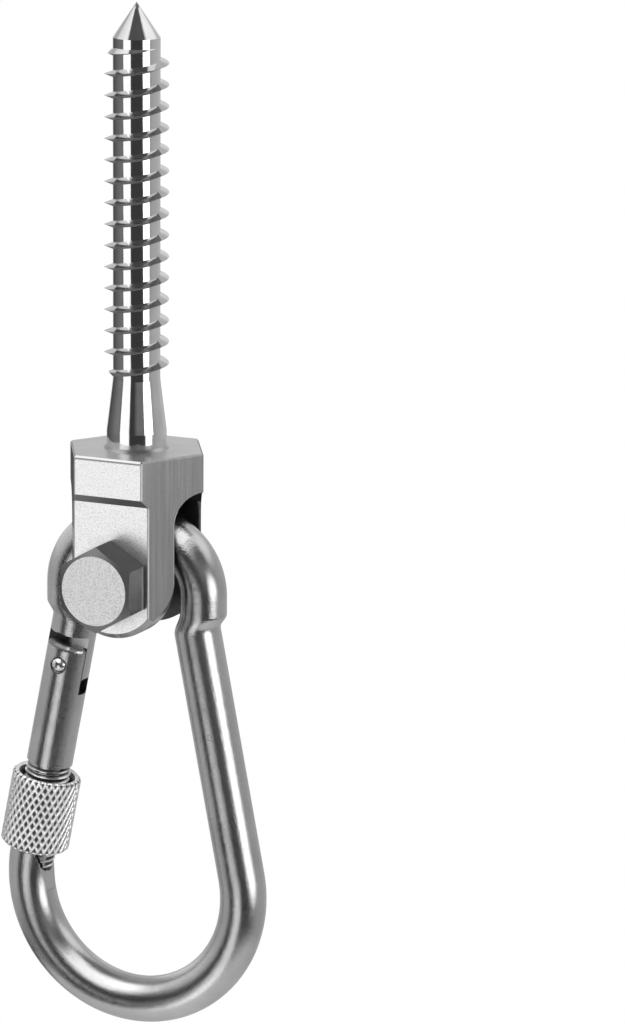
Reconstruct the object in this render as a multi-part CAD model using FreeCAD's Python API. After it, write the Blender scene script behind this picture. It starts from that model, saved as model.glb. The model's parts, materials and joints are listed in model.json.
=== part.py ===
import FreeCAD, Part
import math
import os

# Hanging hook: a wood screw with a clevis, a cross bolt and a pear-shaped spring hook with a screw lock.
# Millimetres. The origin is the centre of the clevis's top face, which seats against the beam.
# +Z runs up the screw, the bolt lies along Y with its head at -Y, and the hook hangs in the XZ plane.

# Wood screw
screw_length = 76.3
screw_core_r = 4.0
screw_point_length = 6.0
thread_crest_r = 5.5
thread_pitch = 3.66
thread_root_width = 1.5
thread_lead = 1.22
thread_fade = 2.6
thread_point_gap = 1.4
neck_r = 5.1
neck_straight = 3.0
neck_length = 12.0
neck_flare = 0.5

# Clevis block, cut from hexagon bar
hex_across_flats = 22.0
edge_round = 0.4
top_edge_bevel = 0.3
ear_face_distance = 9.8
ear_rim_bevel = 0.9
step_top_depth = 6.7
step_height = 1.4
slot_width = 10.4
slot_roof_depth = 6.7

# Cross bolt and its lock nut
bolt_depth = 21.85
bolt_r = 4.0
bolt_hole_clearance = 0.1
bolt_head_across_flats = 13.0
bolt_head_height = 6.5
bolt_head_face_r = 6.0
bolt_head_angle = 90.0
bolt_chamfer_angle = 30.0
bolt_end_length = 1.2
bolt_end_chamfer = 0.8
lock_nut_height = 5.6
lock_nut_angle = 0.0
lock_nut_collar_height = 1.6
lock_nut_collar_r = 5.9
lock_ring_height = 1.8
lock_ring_wall = 1.2
lock_ring_clearance = 0.05

# Pear-shaped hook, bent from round wire
wire_r = 4.0
hook_seat_gap = 0.35
crown_r = 12.75
shoulder_r = 10.5
crown_top_angle = 40.0
shoulder_straight = 3.031
jog_height = 3.2
jog_offset = 1.1
jog_bands = 8
leg_tilt = 11.25
leg_length = 43.35
nose_straight = 0.3

# Gate hinge: a flat tang on the hook in the fork of the gate
hinge_stub = 2.5
hinge_gap = 1.75
tang_thickness = 2.7
tang_side_clearance = 0.15
tang_end_r = 4.4
tang_flat = 3.6
rivet_inset = 3.8
rivet_r = 1.25
rivet_clearance = 0.05
rivet_head_r = 1.4
rivet_head_height = 1.0
rivet_seat = 3.4
rivet_seat_margin = 0.15
slot_below_rivet = 5.0

# Gate and its threaded end
gate_thread_core_r = 3.45
gate_thread_above_nut = 2.2
gate_end_edge = 0.3
gate_top_round = 1.2
spring_bore_r = 2.3
spring_bore_depth = 14.0
lip_rise = 0.3
lip_nut_gap = 0.15
lip_start = 2.1
lip_slope = 0.42
lip_clearance = 0.3
lip_recess_length = 7.0

# Screw lock on the gate
nut_r = 6.0
nut_length = 13.4
nut_nose_gap = 0.65
nut_bore_clearance = 0.05
nut_thread_length = 7.6
nut_relief_clearance = 0.3
nut_mouth_r = 5.2
nut_mouth_depth = 0.9
nut_chamfer = 0.55

# Spring and plunger inside the gate
plunger_clearance = 0.1
plunger_head_length = 4.0
plunger_nose_r = 0.6
plunger_stem_r = 0.9
plunger_stem_length = 4.0
plunger_gap = 0.2
spring_wire = 0.6
spring_side_clearance = 0.25
spring_end_gap = 0.05
spring_turns = 4

UP = FreeCAD.Vector(0, 0, 1)
SIDE = FreeCAD.Vector(0, 1, 0)


def point(x, y, z):
    return FreeCAD.Vector(x, y, z)


# Sizes that follow from the driving dimensions
hex_corner = hex_across_flats / math.sqrt(3)
slot_half = slot_width / 2
ear_round_r = hex_corner - slot_half / math.sqrt(3)
bolt_z = -bolt_depth
crown_top_z = bolt_z + bolt_r + hook_seat_gap + wire_r
top_angle = math.radians(crown_top_angle)
shoulder_inset = crown_r - shoulder_r
crown_drop = shoulder_r + shoulder_inset * (1 - math.cos(top_angle)) / math.sin(top_angle)
crown_z = crown_top_z - crown_drop
jog_top_z = crown_z - shoulder_straight
jog_end_z = jog_top_z - jog_height
jog_end_x = crown_r - jog_offset
tilt = math.radians(leg_tilt)
foot_x = jog_end_x + leg_length * math.sin(tilt)
foot_z = jog_end_z - leg_length * math.cos(tilt)
bow_r = foot_x / math.cos(tilt)
bow_z = foot_z - bow_r * math.sin(tilt)
cutter_half = 2 * wire_r
cutter_length = 2 * cutter_half

# Heights along the gate's axis, measured up from the foot of the left leg
nut_bottom = nose_straight + nut_nose_gap
nut_top = nut_bottom + nut_length
thread_top = nut_top + gate_thread_above_nut
stub_end = leg_length - hinge_stub
gate_top = stub_end - hinge_gap
rivet_height = gate_top - rivet_inset
slot_floor = rivet_height - slot_below_rivet
bore_floor = slot_floor - spring_bore_depth
plunger_top = rivet_height - tang_flat - plunger_gap
plunger_shoulder = plunger_top - plunger_head_length

# The gate's axis is the left leg's: local Z runs up it, and local X points into the loop
gate_frame = FreeCAD.Placement(point(-foot_x, 0, foot_z), FreeCAD.Rotation(SIDE, leg_tilt))


def solid_of_revolution(outline, base=point(0, 0, 0), axis=UP):
    """Turn a closed outline of edges once round an axis."""
    face = Part.Face(Part.Wire(outline))
    return face.revolve(base, axis, 360)


def edges_through(points):
    """Straight edges through points, closed at the end."""
    loop = points + points[:1]
    return [Part.LineSegment(a, b).toShape() for a, b in zip(loop, loop[1:])]


def prism(points, direction):
    """Extrude a closed outline of points."""
    return Part.Face(Part.Wire(edges_through(points))).extrude(direction)


def on_gate(shape):
    """Put a shape that is made on the gate's axis in its place."""
    return shape.transformed(gate_frame.toMatrix())


def hexagon(across_flats, first_angle, at):
    """Corners of a hexagon in the plane that the function at gives."""
    corner_r = across_flats / math.sqrt(3)
    angles = [math.radians(first_angle + 60 * i) for i in range(6)]
    return [at(corner_r * math.cos(a), corner_r * math.sin(a)) for a in angles]


def screw_shank():
    """Neck, core and point of the wood screw, with its foot inside the block."""
    foot = -step_top_depth / 2
    point_base = screw_length - screw_point_length
    flare_r = neck_r + neck_flare
    return solid_of_revolution(
        edges_through(
            [
                point(0, 0, foot),
                point(flare_r, 0, foot),
                point(flare_r, 0, 0),
                point(neck_r, 0, neck_flare),
                point(neck_r, 0, neck_straight),
                point(screw_core_r, 0, neck_length),
                point(screw_core_r, 0, point_base),
                point(0, 0, screw_length),
            ]
        )
    )


def screw_thread():
    """Sharp wood thread: a swept ridge that fades out at the neck and near the point."""
    low = neck_length
    high = screw_length - screw_point_length - thread_point_gap
    start = low - thread_lead
    turns = math.ceil((high - start) / thread_pitch)
    margin = thread_root_width / 4
    buried_r = screw_core_r - margin
    helix = Part.makeLongHelix(thread_pitch, turns * thread_pitch, screw_core_r, 0, False)
    ridge = Part.Wire(
        edges_through(
            [
                point(buried_r, 0, -thread_root_width / 2),
                point(thread_crest_r, 0, 0),
                point(buried_r, 0, thread_root_width / 2),
            ]
        )
    )
    swept = Part.Wire(helix).makePipeShell([ridge], True, True)
    swept.translate(point(0, 0, start))
    clear_r = thread_crest_r + margin
    fade_r = screw_core_r - margin / 2
    envelope = solid_of_revolution(
        edges_through(
            [
                point(0, 0, low),
                point(fade_r, 0, low),
                point(clear_r, 0, low + thread_fade),
                point(clear_r, 0, high - thread_fade),
                point(fade_r, 0, high),
                point(0, 0, high),
            ]
        )
    )
    return swept.common(envelope)


def clevis_screw():
    """Hexagon block with a slot between two round-ended ears, and the wood screw on top."""
    block_bottom = bolt_z - ear_round_r
    corners = hexagon(hex_across_flats, 0, lambda x, y: point(x, y, 0))
    block = prism(corners, point(0, 0, block_bottom))
    upright_edges = [e for e in block.Edges if e.BoundBox.ZLength > edge_round]
    block = block.makeFillet(edge_round, upright_edges)
    top_edges = [e for e in block.Edges if e.BoundBox.ZMin > -edge_round]
    block = block.makeChamfer(top_edge_bevel, top_edges)

    # Each ear's lower face stands back from the bar's flat, below a sloping step
    wide = hex_across_flats
    half = hex_across_flats / 2
    for sign in (-1, 1):
        relief = [
            point(-wide, sign * half, -step_top_depth),
            point(-wide, sign * ear_face_distance, -step_top_depth - step_height),
            point(-wide, sign * ear_face_distance, block_bottom - wire_r),
            point(-wide, sign * wide, block_bottom - wire_r),
            point(-wide, sign * wide, -step_top_depth),
        ]
        block = block.cut(prism(relief, point(2 * wide, 0, 0)))
    near = edge_round / 4
    ear_edges = [e for e in block.Edges if e.BoundBox.ZLength > ear_round_r]
    face_edges = [e for e in ear_edges if abs(abs(e.CenterOfMass.y) - ear_face_distance) < near]
    block = block.makeFillet(edge_round, face_edges)

    # The slot is open below and has a round roof
    springing = -slot_roof_depth - slot_half
    mouth = block_bottom - wire_r
    front_top = point(-wide, -slot_half, springing)
    front_low = point(-wide, -slot_half, mouth)
    rear_top = point(-wide, slot_half, springing)
    rear_low = point(-wide, slot_half, mouth)
    slot_outline = Part.Wire(
        [
            Part.Arc(front_top, point(-wide, 0, -slot_roof_depth), rear_top).toShape(),
            Part.LineSegment(rear_top, rear_low).toShape(),
            Part.LineSegment(rear_low, front_low).toShape(),
            Part.LineSegment(front_low, front_top).toShape(),
        ]
    )
    block = block.cut(Part.Face(slot_outline).extrude(point(2 * wide, 0, 0)))

    # The ears end in a round about the bolt, with a bevel at its outer rim
    full = ear_face_distance - ear_rim_bevel
    past = ear_face_distance + ear_rim_bevel
    narrow_r = ear_round_r - 2 * ear_rim_bevel
    rounding = solid_of_revolution(
        edges_through(
            [
                point(0, -past, bolt_z),
                point(narrow_r, -past, bolt_z),
                point(ear_round_r, -full, bolt_z),
                point(ear_round_r, full, bolt_z),
                point(narrow_r, past, bolt_z),
                point(0, past, bolt_z),
            ]
        ),
        point(0, 0, bolt_z),
        SIDE,
    )
    above = Part.makeBox(2 * wide, 2 * wide, bolt_depth + wire_r, point(-wide, -wide, bolt_z))
    block = block.common(rounding.fuse(above))
    hole_r = bolt_r + bolt_hole_clearance
    block = block.cut(Part.makeCylinder(hole_r, 2 * wide, point(0, -wide, bolt_z), SIDE))
    return block.fuse(screw_shank()).fuse(screw_thread()).removeSplitter()


def chamfered_hexagon(first_angle, low, high):
    """Hexagon prism along Y about the bolt's axis, with its corners turned off at the end at high."""
    across_flats = bolt_head_across_flats
    chamfered_r = bolt_head_face_r
    corners = hexagon(across_flats, first_angle, lambda x, z: point(x, low, bolt_z + z))
    bar = prism(corners, point(0, high - low, 0))
    outer_r = across_flats
    slope = (outer_r - chamfered_r) * math.tan(math.radians(bolt_chamfer_angle))
    inward = -slope if high > low else slope
    turned = solid_of_revolution(
        edges_through(
            [
                point(0, low, bolt_z),
                point(outer_r, low, bolt_z),
                point(outer_r, high + inward, bolt_z),
                point(chamfered_r, high, bolt_z),
                point(0, high, bolt_z),
            ]
        ),
        point(0, 0, bolt_z),
        SIDE,
    )
    return bar.common(turned)


def clevis_bolt():
    """Hexagon bolt through both ears, its head against the front one."""
    head_back = -ear_face_distance
    head = chamfered_hexagon(bolt_head_angle, head_back, head_back - bolt_head_height)
    end = ear_face_distance + lock_nut_height + bolt_end_length
    shank = solid_of_revolution(
        edges_through(
            [
                point(0, head_back, bolt_z),
                point(bolt_r, head_back, bolt_z),
                point(bolt_r, end - bolt_end_chamfer, bolt_z),
                point(bolt_r - bolt_end_chamfer, end, bolt_z),
                point(0, end, bolt_z),
            ]
        ),
        point(0, 0, bolt_z),
        SIDE,
    )
    return head.fuse(shank).removeSplitter()


def lock_nut():
    """Hexagon nut behind the rear ear, with a collar that holds its locking ring."""
    seat = ear_face_distance
    hex_end = seat + lock_nut_height - lock_nut_collar_height
    end = seat + lock_nut_height
    bore_r = bolt_r + bolt_hole_clearance
    body = chamfered_hexagon(lock_nut_angle, seat, hex_end)
    collar = Part.makeCylinder(lock_nut_collar_r, lock_nut_height, point(0, seat, bolt_z), SIDE)
    bore = Part.makeCylinder(bore_r, lock_nut_height, point(0, seat, bolt_z), SIDE)
    pocket = Part.makeCylinder(
        bore_r + lock_ring_wall, lock_ring_height, point(0, end - lock_ring_height, bolt_z), SIDE
    )
    return body.fuse(collar).cut(bore).cut(pocket).removeSplitter()


def lock_ring():
    """Plastic ring in the lock nut's collar, which grips the bolt's thread."""
    start = ear_face_distance + lock_nut_height - lock_ring_height
    bore_r = bolt_r + bolt_hole_clearance
    ring_r = bore_r + lock_ring_wall - lock_ring_clearance
    ring = Part.makeCylinder(ring_r, lock_ring_height, point(0, start, bolt_z), SIDE)
    return ring.cut(Part.makeCylinder(bore_r, lock_ring_height, point(0, start, bolt_z), SIDE))


def round_section(x, z, lean):
    """The wire's section at a point of its line, leaning about Y by an angle in degrees."""
    a = math.radians(lean)
    return Part.Wire(Part.makeCircle(wire_r, point(x, 0, z), point(math.sin(a), 0, math.cos(a))))


def swept_wire(path, section):
    """Round wire along a path of tangent lines and arcs."""
    return Part.Wire(path).makePipeShell([section], True, False)


def shoulder(side):
    """Pressed jog that steps the wire inwards, from the crown to the top of a leg."""
    outward = jog_height * math.tan(tilt)
    sections = []
    for band in range(jog_bands + 1):
        u = band / jog_bands
        ease = u * u * (3 - 2 * u)
        swing = u * u * (u - 1)
        x = crown_r + (jog_end_x - crown_r) * ease + outward * swing
        sections.append(round_section(side * x, jog_top_z - jog_height * u, -side * leg_tilt * u))
    return Part.makeLoft(sections, True, True)


def crown():
    """Top bend of the hook, which hangs on the bolt: a flat arc between two tighter ones."""
    level = math.pi / 2
    angles = [level, (level + top_angle) / 2, top_angle]

    def on_arc(side, angle):
        x = shoulder_inset + shoulder_r * math.sin(angle)
        return point(side * x, 0, crown_z + shoulder_r * math.cos(angle))

    right = [on_arc(1, angle) for angle in angles]
    left = [on_arc(-1, angle) for angle in reversed(angles)]
    path = [
        Part.LineSegment(point(crown_r, 0, jog_top_z), right[0]).toShape(),
        Part.Arc(*right).toShape(),
        Part.Arc(right[-1], point(0, 0, crown_top_z), left[0]).toShape(),
        Part.Arc(*left).toShape(),
        Part.LineSegment(left[-1], point(-crown_r, 0, jog_top_z)).toShape(),
    ]
    return swept_wire(path, round_section(crown_r, jog_top_z, 0))


def bow():
    """Back leg, bottom bend and the start of the nose."""
    nose_x = -foot_x + nose_straight * math.sin(tilt)
    nose_z = foot_z + nose_straight * math.cos(tilt)
    path = [
        Part.LineSegment(point(jog_end_x, 0, jog_end_z), point(foot_x, 0, foot_z)).toShape(),
        Part.Arc(
            point(foot_x, 0, foot_z), point(0, 0, bow_z - bow_r), point(-foot_x, 0, foot_z)
        ).toShape(),
        Part.LineSegment(point(-foot_x, 0, foot_z), point(nose_x, 0, nose_z)).toShape(),
    ]
    return swept_wire(path, round_section(jog_end_x, jog_end_z, -leg_tilt))


def tang():
    """Flat tongue that the gate turns on, with a flat at its round end for the plunger."""
    tang_bottom = rivet_height - tang_end_r
    bar = Part.makeCylinder(wire_r, stub_end - tang_bottom, point(0, 0, tang_bottom))
    half = tang_thickness / 2
    slab = Part.makeBox(
        cutter_length, tang_thickness, stub_end - rivet_height, point(-cutter_half, -half, rivet_height)
    )
    round_end = Part.makeCylinder(tang_end_r, tang_thickness, point(0, -half, rivet_height), SIDE)
    flat_cut = Part.makeBox(
        cutter_length,
        cutter_length,
        tang_end_r,
        point(-cutter_half, -cutter_half, rivet_height - tang_flat - tang_end_r),
    )
    hole_r = rivet_r + rivet_clearance
    hole = Part.makeCylinder(hole_r, cutter_length, point(0, -cutter_half, rivet_height), SIDE)
    return bar.common(slab.fuse(round_end)).cut(flat_cut).cut(hole)


def lip_wedge(offset):
    """Wedge on the inner side of the lip's slanting plane, which is moved outwards by offset."""
    reach = cutter_half
    top = nut_bottom + wire_r
    shift = offset * math.sqrt(1 + lip_slope**2)

    def plane_at(height):
        return lip_start - shift + lip_slope * (nut_bottom - height)

    low = nut_bottom - lip_recess_length
    outline = [
        point(plane_at(top), -reach, top),
        point(reach, -reach, top),
        point(reach, -reach, low),
        point(plane_at(low), -reach, low),
    ]
    return prism(outline, point(0, 2 * reach, 0))


def hook_body():
    """Bent wire hook: crown, jogged shoulders, legs, bow, nose and tang in one piece."""
    stub = on_gate(Part.makeCylinder(wire_r, hinge_stub, point(0, 0, stub_end)))
    pieces = [shoulder(1), shoulder(-1), bow(), stub, on_gate(tang())]
    body = crown().multiFuse(pieces).removeSplitter()
    return body.cut(on_gate(lip_wedge(lip_clearance)))


def gate():
    """Sprung gate: a bored rod with a fork at the hinge and a threaded end with a thin lip."""
    thread_bottom = nut_bottom + gate_end_edge
    rod = Part.makeCylinder(wire_r, gate_top - thread_top, point(0, 0, thread_top))
    top_edges = [e for e in rod.Edges if e.BoundBox.ZMin > gate_top - gate_top_round]
    rod = rod.makeFillet(gate_top_round, top_edges)
    core = Part.makeCylinder(gate_thread_core_r, thread_top - thread_bottom, point(0, 0, thread_bottom))
    lip_r = gate_thread_core_r + lip_rise
    lip_low = nut_bottom - (lip_r - lip_start) / lip_slope
    lip_root = Part.makeCylinder(gate_thread_core_r, thread_bottom - lip_low, point(0, 0, lip_low))
    lip_tip = Part.makeCylinder(lip_r, nut_bottom - lip_nut_gap - lip_low, point(0, 0, lip_low))
    lip = lip_root.fuse(lip_tip).common(lip_wedge(0))
    shape = rod.fuse([core, lip]).removeSplitter()

    fork_width = tang_thickness + 2 * tang_side_clearance
    fork_depth = gate_top - slot_floor
    shape = shape.cut(
        Part.makeBox(cutter_length, fork_width, fork_depth, point(-cutter_half, -fork_width / 2, slot_floor))
    )
    shape = shape.cut(Part.makeCylinder(spring_bore_r, gate_top - bore_floor, point(0, 0, bore_floor)))
    hole_r = rivet_r + rivet_clearance
    shape = shape.cut(Part.makeCylinder(hole_r, cutter_length, point(0, -cutter_half, rivet_height), SIDE))
    seat_r = rivet_head_r + rivet_seat_margin
    for start in (rivet_seat, -rivet_seat - wire_r):
        shape = shape.cut(Part.makeCylinder(seat_r, wire_r, point(0, start, rivet_height), SIDE))
    return on_gate(shape)


def hinge_rivet():
    """Rivet through the fork and the tang, with a dome at each end."""
    pin = Part.makeCylinder(rivet_r, 2 * rivet_seat, point(0, -rivet_seat, rivet_height), SIDE)
    dome_r = (rivet_head_r**2 + rivet_head_height**2) / (2 * rivet_head_height)
    for sign in (-1, 1):
        centre_y = sign * (rivet_seat + rivet_head_height - dome_r)
        ball = Part.makeSphere(dome_r, point(0, centre_y, rivet_height))
        keep = Part.makeCylinder(
            2 * rivet_head_r, 2 * rivet_head_height, point(0, sign * rivet_seat, rivet_height), sign * SIDE
        )
        pin = pin.fuse(ball.common(keep))
    return on_gate(pin.removeSplitter())


def gate_plunger():
    """Stepped plunger in the gate's bore, which presses on the tang's flat."""
    head_r = spring_bore_r - plunger_clearance
    low = plunger_shoulder - plunger_stem_length
    return on_gate(
        solid_of_revolution(
            edges_through(
                [
                    point(0, 0, low),
                    point(plunger_stem_r, 0, low),
                    point(plunger_stem_r, 0, plunger_shoulder),
                    point(head_r, 0, plunger_shoulder),
                    point(head_r, 0, plunger_top - plunger_nose_r),
                    point(head_r - plunger_nose_r, 0, plunger_top),
                    point(0, 0, plunger_top),
                ]
            )
        )
    )


def gate_spring():
    """Coil spring between the floor of the gate's bore and the plunger's shoulder."""
    half = spring_wire / 2
    coil_r = spring_bore_r - spring_side_clearance - half
    low = bore_floor + spring_end_gap + half
    rise = plunger_shoulder - spring_end_gap - half - low
    helix = Part.makeLongHelix(rise / spring_turns, rise, coil_r, 0, False)
    section = Part.Wire(
        edges_through(
            [
                point(coil_r - half, 0, -half),
                point(coil_r + half, 0, -half),
                point(coil_r + half, 0, half),
                point(coil_r - half, 0, half),
            ]
        )
    )
    coil = Part.Wire(helix).makePipeShell([section], True, True)
    coil.translate(point(0, 0, low))
    return on_gate(coil)


def knurled_nut():
    """Round lock nut on the gate's thread, relieved above its thread so that it can run up the rod."""
    bore_r = gate_thread_core_r + nut_bore_clearance
    relief_r = wire_r + nut_relief_clearance
    return on_gate(
        solid_of_revolution(
            edges_through(
                [
                    point(bore_r, 0, nut_bottom),
                    point(nut_r - nut_chamfer, 0, nut_bottom),
                    point(nut_r, 0, nut_bottom + nut_chamfer),
                    point(nut_r, 0, nut_top - nut_chamfer),
                    point(nut_r - nut_chamfer, 0, nut_top),
                    point(nut_mouth_r, 0, nut_top),
                    point(relief_r, 0, nut_top - nut_mouth_depth),
                    point(relief_r, 0, nut_bottom + nut_thread_length),
                    point(bore_r, 0, nut_bottom + nut_thread_length),
                ]
            )
        )
    )


nodes = {
    "clevis_screw": clevis_screw,
    "clevis_bolt": clevis_bolt,
    "lock_nut": lock_nut,
    "lock_ring": lock_ring,
    "hook_body": hook_body,
    "gate": gate,
    "hinge_rivet": hinge_rivet,
    "gate_plunger": gate_plunger,
    "gate_spring": gate_spring,
    "knurled_nut": knurled_nut,
}

os.makedirs("parts", exist_ok=True)
for name, make in nodes.items():
    shape = make()
    shape.exportStep(f"parts/{name}.step")
    print(name, "solids", len(shape.Solids), "valid", shape.isValid(), "volume", round(shape.Volume, 2))
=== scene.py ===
"""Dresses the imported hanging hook: finishes, knurl, fine threads, spring, studio and camera."""

import json
import math

import bmesh
import bpy
from bpy.props import FloatProperty, FloatVectorProperty, IntProperty, PointerProperty
from mathutils import Matrix, Vector


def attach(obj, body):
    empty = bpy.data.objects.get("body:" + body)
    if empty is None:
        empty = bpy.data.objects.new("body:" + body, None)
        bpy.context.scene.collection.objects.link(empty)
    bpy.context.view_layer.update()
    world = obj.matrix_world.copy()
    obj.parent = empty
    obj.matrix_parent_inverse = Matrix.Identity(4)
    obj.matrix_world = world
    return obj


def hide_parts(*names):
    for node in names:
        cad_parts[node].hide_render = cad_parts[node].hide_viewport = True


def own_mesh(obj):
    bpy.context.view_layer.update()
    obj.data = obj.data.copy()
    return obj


bl_info = {
    "name": "Hanging hook dressing",
    "version": (1, 0, 0),
    "blender": (4, 5, 0),
    "location": "View3D > Sidebar > Hook",
    "description": "Finishes, knurl, fine threads, spring and studio for a screw-in hanging hook",
    "category": "Object",
}

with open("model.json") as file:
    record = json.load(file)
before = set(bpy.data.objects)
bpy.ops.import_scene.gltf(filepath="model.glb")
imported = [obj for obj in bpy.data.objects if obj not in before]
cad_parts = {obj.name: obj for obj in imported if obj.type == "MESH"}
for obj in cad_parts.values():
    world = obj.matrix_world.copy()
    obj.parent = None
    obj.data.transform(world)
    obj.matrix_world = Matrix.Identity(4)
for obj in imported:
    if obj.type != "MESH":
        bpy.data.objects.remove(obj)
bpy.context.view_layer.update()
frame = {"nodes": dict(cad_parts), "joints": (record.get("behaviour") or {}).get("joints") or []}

MM = 0.001
FULL_TURN = 2 * math.pi
JOINTS = {joint["name"]: joint for joint in frame["joints"]}

# The gate's axis runs up the gate, and heights on it are counted from the foot of the gate's leg
RIVET_HEIGHT = 35.3 * MM
GATE_UP = Vector(JOINTS["lock_slide"]["axis"])
GATE_SIDE = Vector((0, 1, 0))
GATE_IN = GATE_SIDE.cross(GATE_UP)
GATE_FOOT = Vector(JOINTS["gate_hinge"]["pos_m"]) - RIVET_HEIGHT * GATE_UP


def gate_matrix():
    """Places what is made about the Z axis on the gate's axis."""
    turn = Matrix((GATE_IN, GATE_SIDE, GATE_UP)).transposed()
    return Matrix.Translation(GATE_FOOT) @ turn.to_4x4()


def grey(level):
    """Neutral colour."""
    return (level, level, level, 1)


# Settings


def length_setting(name, description, metres):
    """Length that a user may change."""
    return FloatProperty(name=name, description=description, default=metres, unit="LENGTH", precision=5)


def size_setting(name, description, millimetres):
    """Length of a small piece."""
    return length_setting(name, description, millimetres * MM)


def share_setting(name, description, share):
    """Share of a whole that a user may change."""
    return FloatProperty(
        name=name, description=description, default=share, min=0.0, max=1.0, subtype="FACTOR"
    )


def number_setting(name, description, number):
    """Plain number that a user may change."""
    return FloatProperty(name=name, description=description, default=number)


def count_setting(name, description, count):
    """Whole number that a user may change."""
    return IntProperty(name=name, description=description, default=count)


def grey_setting(name, description, level):
    """Neutral colour that a user may change."""
    return FloatVectorProperty(
        name=name, description=description, subtype="COLOR", size=4, default=grey(level)
    )


class LockSettings(bpy.types.PropertyGroup):
    """Sizes of the knurled screw lock."""

    bottom: size_setting("Bottom", "Height of its lower end on the gate", 0.95)
    length: size_setting("Length", "Length along the gate", 13.4)
    crest: size_setting("Crest radius", "Radius over the knurl", 6.0)
    depth: size_setting("Knurl depth", "Depth of the pits", 0.5)
    lines: count_setting("Lines", "Knurl lines round the lock each way", 31)
    period: size_setting("Period", "Distance between pits along the gate", 2.26)
    land: share_setting("Land", "Half width of a ridge's top, as a share of a pitch", 0.08)
    ridge: share_setting("Ridge", "Half width of a ridge's foot, as a share of a pitch", 0.4)
    cross: share_setting("Cross ridges", "Height of the second set of ridges, as a share", 0.7)
    steps: count_setting("Steps", "Mesh steps to a pitch", 12)
    chamfer: size_setting("Chamfer", "Bevel at both ends", 0.55)
    mouth: size_setting("Mouth radius", "Radius of the cone at the top", 5.2)
    mouth_depth: size_setting("Mouth depth", "Depth of the cone at the top", 0.9)
    relief: size_setting("Relief radius", "Plain bore above the thread", 4.3)
    bore: size_setting("Bore radius", "Bore round the gate's thread", 4.04)
    bore_length: size_setting("Bore length", "Length of the threaded bore", 7.6)


class ThreadSettings(bpy.types.PropertyGroup):
    """Sizes of the gate's fine thread and of the lip at its foot."""

    pitch: size_setting("Pitch", "Pitch of the fine thread", 1.0)
    root: size_setting("Root radius", "Root, just under the gate's core", 3.42)
    crest: size_setting("Crest radius", "Outside of the thread", 3.96)
    bottom: size_setting("Bottom", "Height where the full thread starts", 1.25)
    top: size_setting("Top", "Height where the plain rod starts", 16.5)
    lip_bottom: size_setting("Lip bottom", "Height of the lip's end", -2.95)
    lip_start: size_setting("Lip offset", "From the axis to the lip's slope at the lock's foot", 2.1)
    lip_slope: number_setting("Lip slope", "How fast the lip's slope leaves the axis", 0.42)
    steps: count_setting("Steps", "Mesh steps to a turn", 72)


class SpringSettings(bpy.types.PropertyGroup):
    """Sizes of the coil spring in the gate's bore."""

    bottom: size_setting("Bottom", "Height of the bore's floor on the gate", 16.3)
    top: size_setting("Top", "Height of the plunger's shoulder on the gate", 27.5)
    gap: size_setting("End gap", "Gap at each end", 0.05)
    coil: size_setting("Coil radius", "Radius at the middle of the wire", 1.75)
    wire: size_setting("Wire radius", "Radius of the wire", 0.3)
    turns: count_setting("Turns", "Turns of the coil", 4)
    steps: count_setting("Steps", "Mesh steps to a turn", 48)
    sides: count_setting("Sides", "Mesh sides of the wire", 14)
    keep: share_setting("Keep", "Share of the length left with the gate open", 0.94)


class FinishSettings(bpy.types.PropertyGroup):
    """Colours of the steel finishes, of the painted shade in gaps, pits and the slot, and of the plastic
    ring.
    """

    polished: grey_setting("Polished", "Turned and polished steel", 0.74)
    blasted: grey_setting("Blasted", "Fine-blasted faces", 0.77)
    speckle: grey_setting("Speckle", "Dark pits of the blasted faces", 0.42)
    ground: grey_setting("Ground", "Ground flats", 0.36)
    # Colour of the slot's inside: painted shade, darker than the steel itself
    slot_shade: grey_setting("Sawn", "Inside of the slot", 0.07)
    dull: grey_setting("Dull", "Sides of the bolt", 0.26)
    tumbled: grey_setting("Tumbled", "Tumbled wire", 0.56)
    # Painted shade in the hinge gap, the fork, the bore, the rivet seats and the thread roots, and on the
    # fork's outer rim
    crevice_shade: grey_setting("Grime", "Dark residue in pits and gaps", 0.03)
    ring: grey_setting("Locking ring", "Plastic of the locking ring", 0.7)


class StudioSettings(bpy.types.PropertyGroup):
    """Camera, lamps, floor and tent."""

    camera_place: FloatVectorProperty(
        name="Camera",
        description="Place of the camera",
        subtype="TRANSLATION",
        unit="LENGTH",
        default=(0.430326, -0.860654, 0.205085),
    )
    camera_turn: FloatVectorProperty(
        name="Turn",
        description="Turn of the camera",
        subtype="EULER",
        default=[math.radians(angle) for angle in (77.3279, -0.3873, 24.8624)],
    )
    lens: FloatProperty(name="Lens", description="Focal length", default=202.82, unit="CAMERA")
    lamp_distance: length_setting("Lamp distance", "Distance of the far soft boxes", 1.5)
    near_distance: length_setting("Near lamp distance", "Distance of the near soft boxes", 0.8)
    left_glow: number_setting("Left box", "Brightness of the left soft box", 1.4)
    right_glow: number_setting("Right disk", "Brightness of the right soft disk", 2.6)
    top_glow: number_setting("Top box", "Brightness of the box over the hook", 1.7)
    low_glow: number_setting("Low box", "Brightness of the low box before the hook", 1.15)
    wall_glow: number_setting("Left wall", "Brightness of the wall left of the hook", 0.4)
    fill_glow: number_setting("Fill", "Brightness of the fill before the screw lock", 0.68)
    floor_depth: length_setting("Floor", "Floor below the hook's seat", 1.0)
    floor_radius: length_setting("Floor radius", "Radius of the floor", 1.2)
    tent_radius: length_setting("Tent radius", "Radius of the cloth tent", 4.5)


# Mesh helpers


def new_piece(name, mesh, material, body):
    """Links a mesh as a piece that rides on a body."""
    piece = bpy.data.objects.new(name, mesh)
    bpy.context.scene.collection.objects.link(piece)
    piece.data.materials.append(material)
    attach(piece, body)
    return piece


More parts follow.
